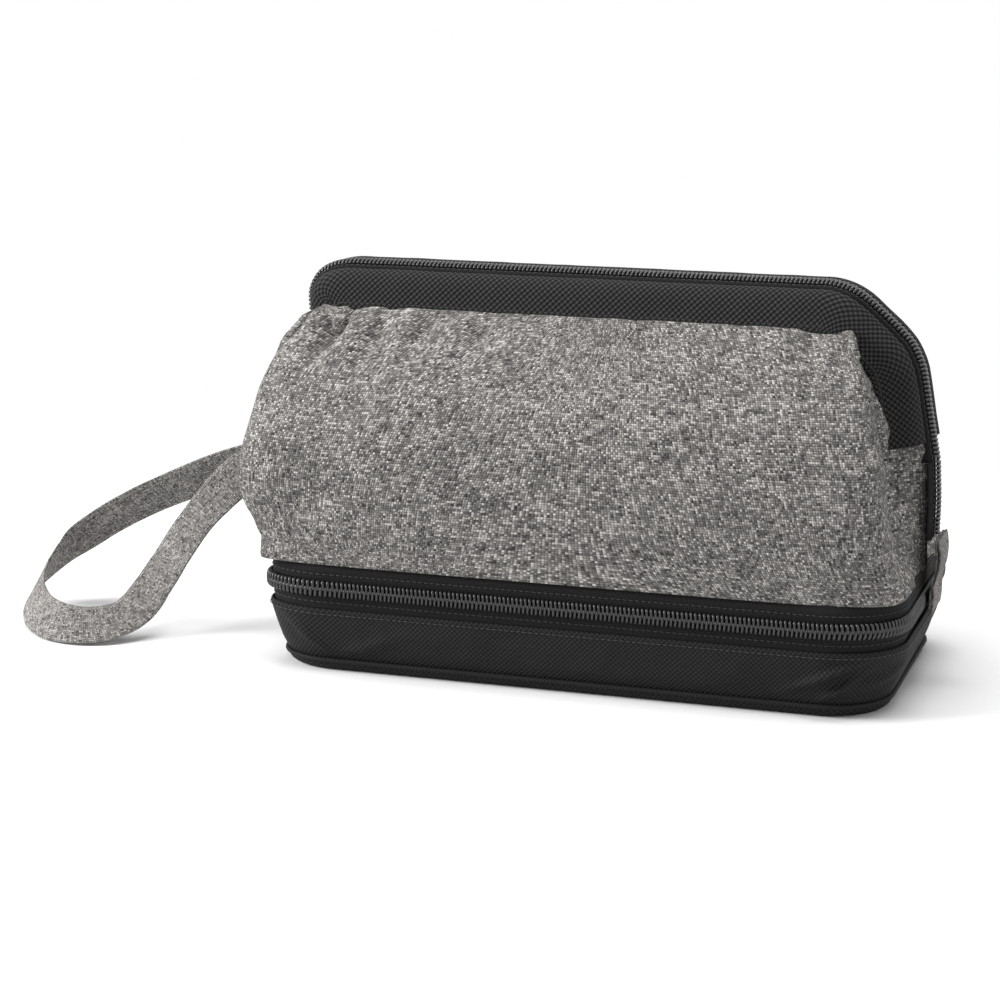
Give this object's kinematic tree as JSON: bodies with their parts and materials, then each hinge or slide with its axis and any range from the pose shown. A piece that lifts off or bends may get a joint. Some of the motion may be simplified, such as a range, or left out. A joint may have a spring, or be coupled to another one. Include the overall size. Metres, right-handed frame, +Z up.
{
  "type": "travel organizer pouch",
  "caption": "Wire-frame toiletry pouch with a hinged-open mouth, a zipped base compartment and a wrist strap.",
  "frame": {"origin": "middle of the bottom face of the bag, on the surface that it stands on", "axes": "+X along the bag to its right end, -Y towards the front panel, +Z up"},
  "size_m": [0.3821, 0.134, 0.155],
  "materials": {
    "black_oxford": "black oxford cloth",
    "black_piping": "black seam piping",
    "board": "stiffening board",
    "frame_wire": "bright drawn wire",
    "grey_melange": "grey heathered plain weave",
    "grey_strap_fabric": "light grey heathered cloth",
    "lining": "dark grey lining cloth",
    "webbing": "coarse black knit webbing",
    "zip_coil": "glossy black nylon coil",
    "zip_metal": "black enamelled zinc",
    "zip_stop": "black moulded stop",
    "zip_tape": "black herringbone tape"
  },
  "bodies": {
    "base": {"base_floor_panel": "black_oxford", "base_bottom_piping": "black_piping", "base_wall": "black_oxford", "base_stiffener": "board", "base_lining": "lining", "base_zip_tape_lower": "zip_tape", "base_zip_coil_lower": "zip_coil", "base_zip_stops": "zip_stop", "base_hinge_strip": "black_oxford"},
    "pouch": {"base_zip_tape_upper": "zip_tape", "base_zip_coil_upper": "zip_coil", "pouch_floor_panel": "black_oxford", "pouch_floor_stiffener": "board", "pouch_lining": "lining", "front_panel": "grey_melange", "back_panel": "grey_melange", "right_gusset_front": "grey_melange", "left_gusset_front": "grey_melange", "right_gusset_back": "grey_melange", "left_gusset_back": "grey_melange", "right_zip_end_coil": "zip_coil", "right_zip_end_tape": "zip_tape", "left_zip_end_coil": "zip_coil", "left_zip_end_tape": "zip_tape", "right_zip_tab": "grey_strap_fabric", "left_zip_tab": "grey_strap_fabric", "main_zip_stop": "zip_stop"},
    "front_frame": {"front_frame_wire": "frame_wire", "front_frame_webbing": "webbing", "front_zip_tape": "zip_tape", "front_zip_coil": "zip_coil"},
    "back_frame": {"back_frame_wire": "frame_wire", "back_frame_webbing": "webbing", "back_zip_tape": "zip_tape", "back_zip_coil": "zip_coil"},
    "wrist_strap": {"wrist_strap": "grey_strap_fabric"},
    "main_zip_slider": {"main_zip_slider": "zip_metal"},
    "main_zip_pull": {"main_zip_pull": "zip_metal"},
    "base_zip_slider": {"base_zip_slider": "zip_metal"},
    "base_zip_pull": {"base_zip_pull": "zip_metal"}
  },
  "joints": [
    {"name": "pouch_lift", "type": "hinge", "parent": "base", "child": "pouch", "pos_m": [0, 0.0654, 0.034], "axis": [-1, 0, 0], "range_deg": [0, 90], "deforming": ["base_hinge_strip"]},
    {"name": "front_frame_swing", "type": "hinge", "parent": "pouch", "child": "front_frame", "pos_m": [0, -0.0081, 0.088], "axis": [1, 0, 0], "range_deg": [0, 55], "deforming": ["front_panel", "left_gusset_front", "right_gusset_front"]},
    {"name": "back_frame_swing", "type": "hinge", "parent": "pouch", "child": "back_frame", "pos_m": [0, 0.0081, 0.088], "axis": [-1, 0, 0], "range_deg": [0, 55], "deforming": ["back_panel", "left_gusset_back", "right_gusset_back"]},
    {"name": "strap_lift", "type": "hinge", "parent": "pouch", "child": "wrist_strap", "pos_m": [-0.133, 0, 0.078], "axis": [0, 1, 0], "range_deg": [0, 65]},
    {"name": "main_slider_travel", "type": "slide", "parent": "pouch", "child": "main_zip_slider", "axis": [0.1817, 0, 0.9834], "range_m": [0, 0.012]},
    {"name": "main_pull_swing", "type": "hinge", "parent": "main_zip_slider", "child": "main_zip_pull", "pos_m": [-0.13151, 0, 0.10371], "axis": [0, 1, 0], "range_deg": [0, 170]},
    {"name": "base_slider_travel", "type": "slide", "parent": "base", "child": "base_zip_slider", "axis": [0, -1, 0], "range_m": [0, 0.06]},
    {"name": "base_pull_swing", "type": "hinge", "parent": "base_zip_slider", "child": "base_zip_pull", "pos_m": [-0.1293, 0.03, 0.034], "axis": [0, 0, 1], "range_deg": [0, 170]}
  ]
}
